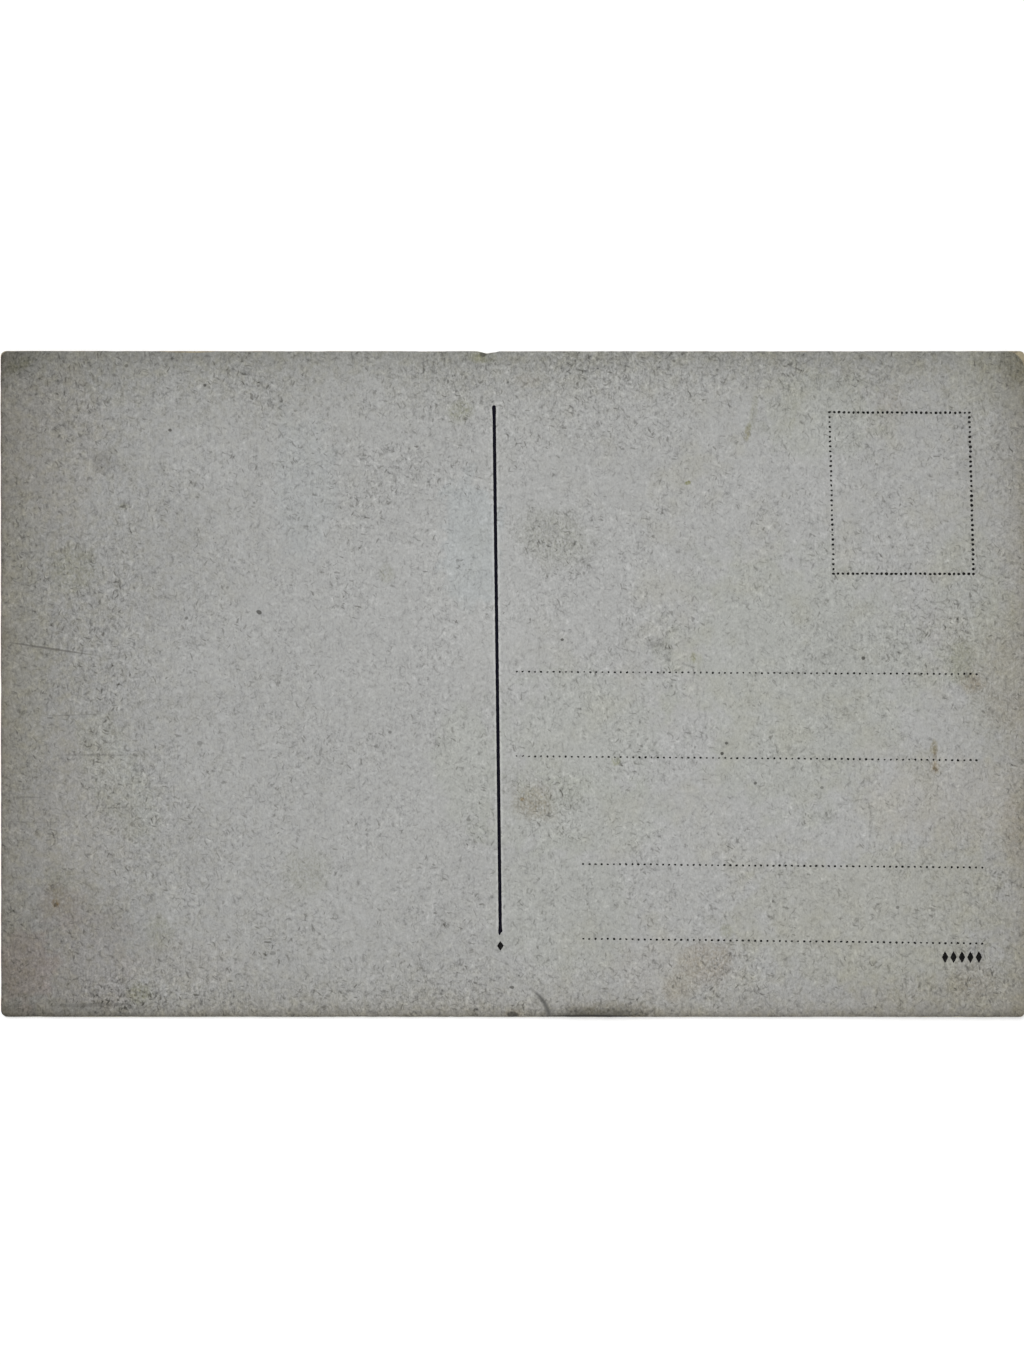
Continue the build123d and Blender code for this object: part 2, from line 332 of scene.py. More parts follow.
class PaperSettings(bpy.types.PropertyGroup):
    """Finish and wear of the board."""

    paper: FloatVectorProperty(
        name="Paper", description="Clean pulp paper of the address side",
        subtype="COLOR", min=0.0, max=1.0, default=(0.3870, 0.3890, 0.3808))
    tan: FloatVectorProperty(
        name="Tan", description="What age toning leaves of the light",
        subtype="COLOR", min=0.0, max=1.0, default=(0.86, 0.62, 0.16))
    core: FloatVectorProperty(
        name="Core", description="Raw pulp of the middle ply",
        subtype="COLOR", min=0.0, max=1.0, default=(0.315, 0.275, 0.185))
    cream: FloatVectorProperty(
        name="Cream", description="Smooth paper of the picture side",
        subtype="COLOR", min=0.0, max=1.0, default=(0.545, 0.495, 0.39))
    fleck_width: FloatProperty(
        name="Fleck width", description="Width of a fibre fleck in the pulp",
        unit="LENGTH", min=0.00005, default=0.00038)
    fleck_length: FloatProperty(
        name="Fleck length", description="Length of a fibre fleck in the pulp",
        unit="LENGTH", min=0.0001, default=0.0013)
    cockle: FloatProperty(
        name="Cockle", description="Most that the board lifts off the table",
        unit="LENGTH", min=0.0, default=0.00032)
    grid: FloatProperty(
        name="Grid", description="Spacing of the mesh across the address side",
        unit="LENGTH", min=0.0002, default=0.0006)


class PrintSettings(bpy.types.PropertyGroup):
    """Ink of the rules, dots and ornaments."""

    rule_ink: FloatVectorProperty(
        name="Rule ink", description="Blue-black ink of the upright rule",
        subtype="COLOR", min=0.0, max=1.0, default=(0.0020, 0.0020, 0.0058))
    dot_ink: FloatVectorProperty(
        name="Dot ink", description="Black ink of the dotted rules",
        subtype="COLOR", min=0.0, max=1.0, default=(0.0045, 0.0045, 0.0043))
    thin_ink: FloatVectorProperty(
        name="Thin ink", description="Paper showing through a starved dot",
        subtype="COLOR", min=0.0, max=1.0, default=(0.103, 0.103, 0.098))
    seed: IntProperty(
        name="Seed", description="Seed of the uneven inking", min=0, default=11)


class StageSettings(bpy.types.PropertyGroup):
    """Floor, light and camera."""

    floor: FloatVectorProperty(
        name="Floor", description="Plain pale floor",
        subtype="COLOR", min=0.0, max=1.0, default=(0.90, 0.90, 0.90))
    key: FloatProperty(
        name="Key light", description="Share of the light that comes from the soft lamp",
        subtype="FACTOR", min=0.0, max=1.0, default=0.5)
    camera_height: FloatProperty(
        name="Camera height", description="Height of the camera over the card",
        unit="LENGTH", min=0.1, default=0.40)


# Shape of the worn board

def bump_at(value, middle, reach):
    """Bell curve, 1 at its middle."""
    return np.exp(-(((value - middle) / reach) ** 2))


def card_lift(x, y):
    """Height that the cockled board stands off the table, in millimetres."""
    cockle = bpy.context.scene.postcard_paper.cockle / MM
    lift = np.zeros_like(x)
    for spot_x, spot_y, reach_x, reach_y, share in LIFTED_SPOTS:
        lift = lift + share * bump_at(x, spot_x, reach_x) * bump_at(y, spot_y, reach_y)
    return cockle * lift


def edge_fuzz(along, seed, amount):
    """Small uneven loss along a worn edge, in millimetres, for an array of places."""
    fine, fine_share, fine_row = 2.3, 0.6, 0.5
    coarse, coarse_share, coarse_row = 0.31, 0.8, 7.5
    usual_loss, most_loss = 0.35, 1.5
    loss = [
        fine_share * noise.noise((fine * value, seed, fine_row))
        + coarse_share * noise.noise((coarse * value, seed, coarse_row))
        for value in along.flat
    ]
    return amount * np.clip(np.array(loss).reshape(along.shape) + usual_loss, 0.0, most_loss)


def dip(along, middle, length, depth):
    """Shallow rounded notch in an edge."""
    inside = np.clip(1.0 - ((along - middle) / (length / 2)) ** 2, 0.0, 1.0)
    return depth * np.sqrt(inside)


def grid_lines(half, fine, coarse):
    """Grid lines from -half to half, crowded towards both ends."""
    growth = 1.3
    steps = [0.0]
    step = fine
    while step < coarse and steps[-1] + step < half:
        steps.append(steps[-1] + step)
        step *= growth
    spread = np.linspace(steps[-1], half, max(2, math.ceil((half - steps[-1]) / coarse) + 1))
    inner = np.concatenate([steps[:-1], spread])
    return np.concatenate([inner - half, (half - inner[:-1])[::-1]])


def card_lines(fine, coarse):
    """Grid lines over the whole card, along its length and along its height."""
    return grid_lines(HALF_LENGTH, fine, coarse), grid_lines(HALF_HEIGHT, fine, coarse)


def round_corners(x, y, fray):
    """Draws the corners of a rectangular grid in to arcs of the worn radius."""
    for corner, (side_x, side_y) in CORNER_SIDES.items():
        radius = CORNER_WEAR[corner] + fray.get(corner, 0.0)
        a = np.clip((side_x * x - (HALF_LENGTH - radius)) / radius, 0.0, 1.0)
        b = np.clip((side_y * y - (HALF_HEIGHT - radius)) / radius, 0.0, 1.0)
        x = x + side_x * radius * (a * np.sqrt(1 - b * b / 2) - a)
        y = y + side_y * radius * (b * np.sqrt(1 - a * a / 2) - b)
    return x, y


def draw_in(value, half, loss_low, loss_high):
    """Moves the outer grid lines inwards so that the ends follow the worn edge."""
    reach = 1.6
    high = np.clip((value - (half - reach)) / reach, 0.0, 1.0) ** 2
    low = np.clip((-value - (half - reach)) / reach, 0.0, 1.0) ** 2
    return value - loss_high * high + loss_low * low


def worn_plan(lines_x, lines_y, fray, fuzz, seed, chipped=False):
    """Plan of one worn ply: x and y of a grid whose border is the worn outline."""
    top = edge_fuzz(lines_x, seed, fuzz) + dip(lines_x, NICK_X, NICK_LENGTH, NICK_DEPTH)
    if chipped:
        top = np.maximum(top, dip(lines_x, CHIP_X, CHIP_LENGTH, CHIP_DEPTH))
    bottom = edge_fuzz(lines_x, seed + 1, fuzz)
    left = edge_fuzz(lines_y, seed + 2, fuzz)
    right = edge_fuzz(lines_y, seed + 3, fuzz)
    x, y = np.meshgrid(lines_x, lines_y, indexing="ij")
    x, y = round_corners(x, y, fray)
    x = draw_in(x, HALF_LENGTH, left[None, :], right[None, :])
    y = draw_in(y, HALF_HEIGHT, bottom[:, None], top[:, None])
    return x, y


def closed_sheet(node, x, y, worn_off=0.0):
    """Closed mesh of a packed layer on a plan in millimetres, lifted with the cockled board."""
    low, high = layer(node)
    lift = card_lift(x, y)
    upper = np.stack([x, y, high + lift - worn_off], axis=-1).reshape(-1, 3)
    lower = np.stack([x, y, low + lift], axis=-1).reshape(-1, 3)
    index = np.arange(x.size).reshape(x.shape)
    top_faces = np.stack(
        [index[:-1, :-1], index[1:, :-1], index[1:, 1:], index[:-1, 1:]], axis=-1).reshape(-1, 4)
    under_faces = top_faces[:, ::-1] + len(upper)
    rim = np.concatenate([index[:-1, 0], index[-1, :-1], index[:0:-1, -1], index[0, :0:-1]])
    after = np.roll(rim, -1)
    walls = np.stack([rim, rim + len(upper), after + len(upper), after], axis=-1)
    faces = np.concatenate([top_faces, under_faces, walls])
    mesh = bpy.data.meshes.new(node + "_dressed")
    mesh.from_pydata((np.concatenate([upper, lower]) * MM).tolist(), [], faces.tolist())
    spread_uv(mesh, len(top_faces), len(under_faces))
    return mesh


def spread_uv(mesh, top_count, under_count):
    """Gives nearly the whole texture square to the upper face of a sheet."""
    top_share = 0.94
    under_start, under_share = 0.955, 0.018
    wall_start, wall_share = 0.982, 0.014
    border = 0.001
    corners = np.empty(len(mesh.loops), np.int32)
    mesh.loops.foreach_get("vertex_index", corners)
    places = np.empty(len(mesh.vertices) * 3)
    mesh.vertices.foreach_get("co", places)
    places = places.reshape(-1, 3)[corners] / MM
    u = places[:, 0] / CARD_LENGTH + 0.5
    v = places[:, 1] / CARD_HEIGHT + 0.5
    face = np.repeat(np.arange(len(mesh.polygons)), 4)
    under_v = under_start + under_share * v
    wall_v = wall_start + wall_share * (v + u) / 2
    rest_v = np.where(face < top_count + under_count, under_v, wall_v)
    v = np.where(face < top_count, v * top_share, rest_v)
    square = border + (1 - 2 * border) * np.stack([u, v], axis=-1)
    mesh.uv_layers.new(name="OFBake").data.foreach_set("uv", square.ravel())


def show(mesh, material, node, smooth=True):
    """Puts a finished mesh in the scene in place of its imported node."""
    piece = bpy.data.objects.new(node + "_dressed", mesh)
    bpy.context.scene.collection.objects.link(piece)
    mesh.materials.clear()
    mesh.materials.append(material)
    mesh.polygons.foreach_set("use_smooth", [smooth] * len(mesh.polygons))
    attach(piece, "root")
    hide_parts(node)


def show_print(mesh, material, node):
    """Lays a flat film, drawn from height 0 up, on the cockled address side and shows it."""
    sink = 0.004
    places = np.empty(len(mesh.vertices) * 3)
    mesh.vertices.foreach_get("co", places)
    places = places.reshape(-1, 3)
    lift = card_lift(places[:, 0] / MM, places[:, 1] / MM)
    places[:, 2] += (CARD_TOP + lift - sink) * MM
    mesh.vertices.foreach_set("co", places.ravel())
    mesh.update()
    show(mesh, material, node)


# Node wiring

class Bench:
    """Shorthand for wiring a node tree."""

    def __init__(self, tree):
        self.tree = tree

    def node(self, kind, inputs=None, **settings):
        """New node with its settings and inputs; a colour is given without its alpha."""
        made = self.tree.nodes.new(kind)
        for key, value in settings.items():
            setattr(made, key, value)
        for key, value in (inputs or {}).items():
            socket = made.inputs[key]
            if isinstance(value, bpy.types.NodeSocket):
                self.tree.links.new(value, socket)
            else:
                socket.default_value = (*value, 1.0) if socket.type == "RGBA" else value
        return made

    def math(self, operation, *values, clamp=False):
        inputs = dict(enumerate(values))
        return self.node("ShaderNodeMath", inputs, operation=operation, use_clamp=clamp).outputs[0]

    def plus(self, a, b):
        return self.math("ADD", a, b)

    def minus(self, a, b):
        return self.math("SUBTRACT", a, b)

    def times(self, a, b):
        return self.math("MULTIPLY", a, b)

    def total(self, values):
        return reduce(self.plus, values)

    def mixture(self, start, *parts):
        """Start plus each value times its share."""
        for value, share in parts:
            start = self.math("MULTIPLY_ADD", value, share, start)
        return start

    def vector(self, operation, *values):
        made = self.node("ShaderNodeVectorMath", dict(enumerate(values)), operation=operation)
        return made.outputs["Value" if operation == "LENGTH" else "Vector"]

    def stretched(self, vector, scale):
        made = self.node("ShaderNodeVectorMath", {0: vector, "Scale": scale}, operation="SCALE")
        return made.outputs[0]

    def split(self, vector):
        return self.node("ShaderNodeSeparateXYZ", {0: vector}).outputs

    def join(self, x, y, z=0.0):
        return self.node("ShaderNodeCombineXYZ", {0: x, 1: y, 2: z}).outputs[0]

    def ramp(self, value, start, end, low=0.0, high=1.0):
        made = self.node(
            "ShaderNodeMapRange", {0: value, 1: start, 2: end, 3: low, 4: high},
            interpolation_type="SMOOTHSTEP")
        return made.outputs[0]

    def mix(self, factor, a, b, blend="MIX"):
        made = self.node(
            "ShaderNodeMix", {0: factor, 6: a, 7: b},
            data_type="RGBA", blend_type=blend, clamp_factor=False)
        return made.outputs[2]

    def turned(self, vector, turn, size, origin=(0.0, 0.0, 0.0)):
        """Coordinates along turned axes, counted in units of size."""
        angles = (0.0, 0.0, math.radians(turn))
        inputs = {"Vector": vector, "Location": origin, "Rotation": angles, "Scale": size}
        return self.node("ShaderNodeMapping", inputs, vector_type="TEXTURE").outputs[0]

    def noise(self, vector, scale=1.0, detail=2.0, rough=0.5, colour=False):
        inputs = {"Vector": vector, "Scale": scale, "Detail": detail, "Roughness": rough}
        return self.node("ShaderNodeTexNoise", inputs, noise_dimensions="3D").outputs[1 if colour else 0]

    def swing(self, *noise_settings):
        """Noise counted from its middle."""
        return self.minus(self.noise(*noise_settings), 0.5)

    def stray(self, place, scale, reach):
        """Sideways shift that changes from place to place."""
        draws = self.noise(place, scale, 1.0, 0.5, colour=True)
        shift = self.vector("SUBTRACT", draws, (0.5, 0.5, 0.5))
        return self.vector("MULTIPLY", shift, (reach, reach, 0.0))


class Finish(Bench):
    """A new material with one surface shader, and the card's millimetres as coordinates."""

    def __init__(self, name, roughness, specular):
        self.material = bpy.data.materials.new(name)
        self.material.use_nodes = True
        super().__init__(self.material.node_tree)
        self.tree.nodes.clear()
        self.surface = self.node(
            "ShaderNodeBsdfPrincipled", {"Roughness": roughness, "Specular IOR Level": specular})
        self.node("ShaderNodeOutputMaterial", {0: self.surface.outputs[0]})
        self.place = self.stretched(self.node("ShaderNodeTexCoord").outputs["Object"], 1 / MM)
        self.x, self.y, _ = self.split(self.place)

    def finished(self, tone, height, strength, depth):
        """The material, with its colour and a fine relief."""
        relief = self.node(
            "ShaderNodeBump", {"Strength": strength, "Distance": depth * MM, "Height": height})
        self.tree.links.new(tone, self.surface.inputs["Base Color"])
        self.tree.links.new(relief.outputs[0], self.surface.inputs["Normal"])
        return self.material

    def marks(self, grain, listed, ragged, soft):
        """Sum of the masks of a list of marks, whose borders the grain frays."""
        total = 0.0
        fray = self.times(grain, ragged)
        for mark in starmap(Mark, listed):
            place = self.place
            centre = Vector((mark.x, mark.y, 0.0))
            if mark.turn:
                turn = math.radians(mark.turn)
                about = {"Vector": place, "Angle": -turn}
                place = self.node("ShaderNodeVectorRotate", about, rotation_type="Z_AXIS").outputs[0]
                centre.rotate(Matrix.Rotation(-turn, 3, "Z"))
            scale = Vector((1 / mark.half_x, 1 / mark.half_y, 0.0))
            total = self.node("ShaderNodeGroup", {
                "Place": place, "Fray": fray, "Scale": scale, "Offset": -centre * scale,
                "Outer": 1 + soft / 2, "Inner": 1 - soft / 2, "Strength": mark.strength, "Total": total,
            }, node_tree=soft_patch_group()).outputs[0]
        return total


def new_tree(name, kind, inputs, outputs):
    """Empty node group with named inputs and outputs, each with its kind of socket."""
    tree = bpy.data.node_groups.new(name, kind)
    for side, sockets in (("INPUT", inputs), ("OUTPUT", outputs)):
        for socket, value in sockets.items():
            tree.interface.new_socket(socket, in_out=side, socket_type="NodeSocket" + value)
    return tree


def soft_patch_group():
    """Node group that adds one stain to a running total: an oval with a ragged, soft border."""
    name = "Soft patch"
    if name in bpy.data.node_groups:
        return bpy.data.node_groups[name]
    group = new_tree(name, "ShaderNodeTree", {
        "Place": "Vector", "Fray": "Float", "Scale": "Vector", "Offset": "Vector", "Outer": "Float",
        "Inner": "Float", "Strength": "Float", "Total": "Float",
    }, {"Total": "Float"})
    bench = Bench(group)
    given = bench.node("NodeGroupInput").outputs
    away = bench.vector("MULTIPLY_ADD", given["Place"], given["Scale"], given["Offset"])
    reach = bench.plus(bench.vector("LENGTH", away), given["Fray"])
    mask = bench.ramp(reach, given["Outer"], given["Inner"], 0.0, given["Strength"])
    bench.node("NodeGroupOutput", {0: bench.plus(mask, given["Total"])})
    return group


# Materials

class PulpPaper(Finish):
    """Grey-beige flecked pulp paper of the address side, soiled and toned by age, with painted shade
    along its edges and in its crease.
    """

    def __init__(self, settings):
        super().__init__("pulp_paper", roughness=0.92, specular=0.18)
        self.fleck_width = settings.fleck_width / MM
        self.fleck_length = settings.fleck_length / MM

        # Noise at the scales of clouds, mottling and pulp grain
        self.clouds = self.swing(self.place, 0.055, 3.0, 0.55)
        self.mottle = self.swing(self.place, 0.36, 3.0, 0.6)
        self.grain = self.swing(self.place, 2.0, 2.0, 0.6)
        self.fine = self.swing(self.turned(self.place, 6, (0.22, 0.34, 1.0)), 1.0, 1.0, 0.5)
        self.drift = self.plus(self.clouds, self.mottle)
        self.border_grain = self.mixture(self.mottle, (self.grain, 1.3))

        # Soiling with painted shade along the edges, and how rough the surface is, from smooth clean
        # paper to rubbed dirty paper
        self.from_edge = self.edge_distances()
        self.soil_and_shade = self.edge_soil_and_shade()
        self.spots = self.stains(SOIL_AND_SHADE_MARKS)
        self.crowd = self.ramp(self.noise(self.moved(20.0, 50.0, 4.0), 0.16, 2.0, 0.6), 0.32, 0.70)
        self.rough = self.marks(self.drift, ROUGH_ZONES, ragged=1.4, soft=0.9)
        self.crowded = self.marks(self.drift, FLECK_CLUSTERS, ragged=1.4, soft=0.9)
        self.texture = self.mixture(
            0.47, (self.crowd, 0.36), (self.rough, 0.62), (self.soil_and_shade, 1.30), (self.spots, 0.12))

        # Dark fibres and specks, bent out of line
        bent = self.vector("ADD", self.place, self.stray(self.place, 0.9, 0.9))
        self.dark = self.dark_fibres(bent)
        self.sown = self.sown_straws(bent)

    def moved(self, x, y, z):
        """Coordinates for a noise of its own."""
        return self.vector("ADD", self.place, (x, y, z))

    def edge_distances(self):
        """Distance from each edge, made uneven by the clouds."""
        swell = self.math("EXPONENT", self.times(self.drift, 1.1))
        even = {
            "left": self.plus(self.x, HALF_LENGTH),
            "right": self.minus(HALF_LENGTH, self.x),
            "top": self.minus(HALF_HEIGHT, self.y),
            "bottom": self.plus(self.y, HALF_HEIGHT),
        }
        return {edge: self.times(distance, swell) for edge, distance in even.items()}

    def faded(self, edge, *fades):
        """Share that dies away from an edge, for toning, soiling and painted shade."""
        total = 0.0
        for reach, strength in fades:
            share = self.math("EXPONENT", self.math("DIVIDE", self.from_edge[edge], -reach))
            total = self.mixture(total, (share, strength))
        return total

    def edge_soil_and_shade(self):
        """Broad grey darkening from the edges: soiling from handling, painted shade where the light
        falls off, and painted shadow lines along the cut edge.
        """
        clean = 1.0
        for edge, fades in EDGE_SOIL_AND_SHADE.items():
            clean = self.times(clean, self.minus(1.0, self.faded(edge, *fades)))
        return self.times(self.minus(1.0, clean), self.mixture(1.0, (self.mottle, 0.7)))

    def stains(self, listed):
        """Stains with ragged borders."""
        return self.marks(self.border_grain, listed, ragged=0.9, soft=0.8)

    def laid(self, place, turn, across, along, seed):
        """Coordinates for fibres that lie one way."""
        return self.turned(place, turn, (across, along, 1.0), (seed, seed * 1.7, 0.0))

    def laid_fibres(self, place, fibres):
        """Coordinates for each lay of fibres, sized in flecks."""
        for turn, across, along, seed in fibres:
            yield self.laid(place, turn, across * self.fleck_width, along * self.fleck_length, seed)

    def felt(self):
        """Dark and pale fibres of the felted pulp, most of them along the short side of the card."""
        places = self.laid_fibres(self.place, FELT_FIBRES)
        layers = [self.noise(place, 1.0, 1.0, 0.5) for place in places]
        dark = self.total([self.ramp(fibres, 0.58, 0.80) for fibres in layers])
        pale = self.total([self.ramp(fibres, 0.42, 0.20) for fibres in layers])
        return dark, pale

    def scattered(self, place, girths, heart):
        """Separate short bodies with soft rims, and a lot drawn for each."""
        inputs = {"Vector": place, "Scale": 1.0}
        cell = self.node("ShaderNodeTexVoronoi", inputs, voronoi_dimensions="2D").outputs
        lots = self.split(cell["Color"])
        girth = self.ramp(lots[0], 0.0, 1.0, *girths)
        return self.ramp(cell["Distance"], girth, self.times(girth, heart)), lots[1]

    def dark_fibres(self, bent):
        """Short dark fibres, most of them faint."""
        fibres = []
        for place in self.laid_fibres(bent, DARK_FIBRES):
            body, lot = self.scattered(place, (0.09, 0.28), 0.3)
            fibres.append(self.times(body, self.math("POWER", lot, 2.2)))
        return self.total(fibres)

    def sown_straws(self, bent):
        """Scattered dark specks of bark and straw, thickest where the paper is dirty and where the edges
        carry painted shade.
        """
        straws = []
        for turn, across, along, seed in STRAWS:
            body, lot = self.scattered(self.laid(bent, turn, across, along, seed), (0.13, 0.29), 0.45)
            straws.append(self.times(body, self.ramp(lot, 0.66, 1.0)))
        return self.times(self.total(straws), self.mixture(
            0.14, (self.crowd, 0.33), (self.rough, 0.14), (self.soil_and_shade, 0.62), (self.crowded, 0.32)))

    def crease_line(self):
        """Dark line of the crease along part of a circle, fading at its head: dirt and painted shade in
        the fold.
        """
        away = self.vector("SUBTRACT", self.place, (*CREASE_CENTRE, 0.0))
        ring = self.vector("LENGTH", self.vector("MULTIPLY", away, (1.0, 1.0, 0.0)))
        off_ring = self.math("ABSOLUTE", self.minus(ring, CREASE_RADIUS))
        width = self.ramp(self.y, CREASE_HEAD, CREASE_FOOT, CREASE_WIDTH / 2, CREASE_WIDTH)
        line = self.times(self.ramp(off_ring, width, 0.0), self.ramp(self.x, *CREASE_LEFT_END))
        return self.times(line, self.ramp(self.y, CREASE_HEAD, CREASE_HEAD - CREASE_FADE))

    def pressed_margin(self):
        """Narrow strip along the upright rule, where the type pressed the paper smooth and pale."""
        outer, inner, end_fade = 0.62, 0.38, 0.7
        low, high = packed_box("divider_rule")
        lean = (low.x - high.x + RULE_END) / (high.y - low.y)
        axis = self.mixture((low.x + high.x) / 2 - lean * (low.y + high.y) / 2, (self.y, lean))
        strip = self.ramp(self.math("ABSOLUTE", self.minus(self.x, axis)), outer, inner)
        strip = self.times(strip, self.ramp(self.y, low.y, low.y + end_fade))
        return self.times(strip, self.ramp(self.y, high.y, high.y - end_fade))

    def clean_tone(self, paper):
        """Clean paper, shaded by its fibres and tinted by zones."""
        dark, pale = self.felt()
        light = self.mixture(
            self.times(self.grain, 0.34), (self.fine, 0.58), (pale, 0.18), (dark, -0.24))
        # Paler zones, one of them painted light beside the crease
        paler = self.marks(self.drift, PALE_ZONES, ragged=1.2, soft=0.7)
        clear = self.mixture(
            1.0, (self.texture, light), (self.clouds, 0.03), (self.mottle, 0.06), (paler, 0.03),
            (self.pressed_margin(), 0.20))
        tone = self.stretched(tuple(paper), clear)
        for zones, tint in ZONE_TINTS:
            share = self.math("MINIMUM", self.marks(self.drift, zones, ragged=1.4, soft=0.4), 1.2)
            if zones is YELLOW_ZONES:
                share = self.plus(share, self.faded("top", TOP_YELLOW))
            tone = self.mix(share, tone, tint, "MULTIPLY")
        return tone

    def soiled_tone(self, tone, tan):
        """Washes of dirt and age with painted shade along the edges, and then the stains, fibres,
        scratches, the crease and the painted shadow line over them.
        """
        tea = self.ramp(self.noise(self.moved(9.0, 80.0, 2.0), 0.17, 3.0, 0.6), 0.46, 0.72)
        dust = self.ramp(self.noise(self.moved(31.0, 7.0, 5.0), 0.85, 3.0, 0.62), 0.40, 0.68)
        toning = self.total([self.faded(edge, *fades) for edge, fades in EDGE_TAN.items()])
        uneven = self.mixture(1.0, (self.grain, 2.6), (self.fine, -2.0), (self.mottle, 1.2))
        blotch = self.math("MAXIMUM", 0.0, uneven)
        fibre_share = self.mixture(self.times(self.texture, 0.30), (self.crowded, 0.22))
        for mask, share, colour, blend in (
            (tea, self.ramp(self.x, -12.0, 25.0, 0.15, 1.0), TEA_WASH, "MULTIPLY"),
            (dust, self.math("MULTIPLY", self.soil_and_shade, 3.2, clamp=True), DUST_WASH, "MULTIPLY"),
            # Black laid on by soiling, stains and painted edge shade
            (self.mixture(self.soil_and_shade, (self.spots, 0.09)), 1.0, GRIME_AND_SHADE, "MIX"),
            (toning, 1.0, tan, "MULTIPLY"),
            # Brown stains, and a tint over the painted shade beside the lifted bottom edge
            (self.times(self.stains(BROWN_MARKS), blotch), 0.30, RUST_AND_SHADE_WASH, "MULTIPLY"),
            (self.times(self.stains(OLIVE_MARKS), blotch), 0.20, OLIVE_WASH, "MULTIPLY"),
            (self.dark, fibre_share, DARK_FIBRE, "MIX"),
            (self.sown, 1.0, DARK_FIBRE, "MIX"),
            (self.marks(self.grain, SCRATCHES, ragged=0.5, soft=0.7), 0.55, SCRATCH_GREY, "MIX"),
            # Crease line: dirt and painted shade in the fold
            (self.crease_line(), 0.80, CREASE_GREY, "MIX"),
            # Specks, and the painted shadow line under the lifted bottom edge
            (self.marks(self.grain, SPECKS_AND_SHADOW_LINE, ragged=0.5, soft=0.5), 0.9, SPECK_AND_SHADOW_DARK, "MIX"),
        ):
            tone = self.mix(self.math("MULTIPLY", mask, share, clamp=True), tone, colour, blend)
        return tone


def pulp_paper(settings):
    """Material of the address side."""
    paper = PulpPaper(settings)
    tone = paper.soiled_tone(paper.clean_tone(settings.paper), settings.tan)
    height = paper.mixture(paper.plus(paper.grain, paper.fine), (paper.dark, -0.5))
    return paper.finished(tone, height, strength=0.35, depth=0.02)


def raw_pulp(settings):
    """Raw grey-brown pulp of the middle ply, in fine layers at its cut edge."""
    pulp = Finish("raw_pulp", roughness=0.95, specular=0.12)
    strata = pulp.noise(pulp.turned(pulp.place, 0, (0.9, 0.9, 0.035)), 1.0, 3.0, 0.6)
    fibres = pulp.noise(pulp.turned(pulp.place, 0, (0.25, 0.25, 0.06)), 1.0, 2.0, 0.6)
    tone = pulp.mix(pulp.ramp(strata, 0.35, 0.7), settings.core, CORE_STRATA)
    tone = pulp.mix(pulp.ramp(fibres, 0.55, 0.8), tone, CORE_FIBRE)
    return pulp.finished(tone, pulp.plus(strata, fibres), strength=0.6, depth=0.03)


def cream_paper(settings):
    """Smooth cream paper of the picture side, mottled and foxed."""
    paper = Finish("cream_paper", roughness=0.6, specular=0.35)
    mottle = paper.swing(paper.place, 0.25, 3.0, 0.6)
    grain = paper.swing(paper.place, 3.0, 2.0, 0.6)
    foxing = paper.ramp(paper.noise(paper.place, 0.33, 2.0, 0.5), 0.66, 0.78, 0.0, 0.5)
    tone = paper.stretched(tuple(settings.cream), paper.mixture(1.0, (mottle, 0.25), (grain, 0.12)))
    tone = paper.mix(foxing, tone, FOXING_WASH, "MULTIPLY")
    return paper.finished(tone, grain, strength=0.2, depth=0.01)


def hill_line(view, across, base, rise, span, seed):
    """Height of a line of hills along the view, from noise."""
    along = view.join(view.math("DIVIDE", across, span), seed)
    return view.mixture(base, (view.swing(along, 1.0, 4.0, 0.5), rise))


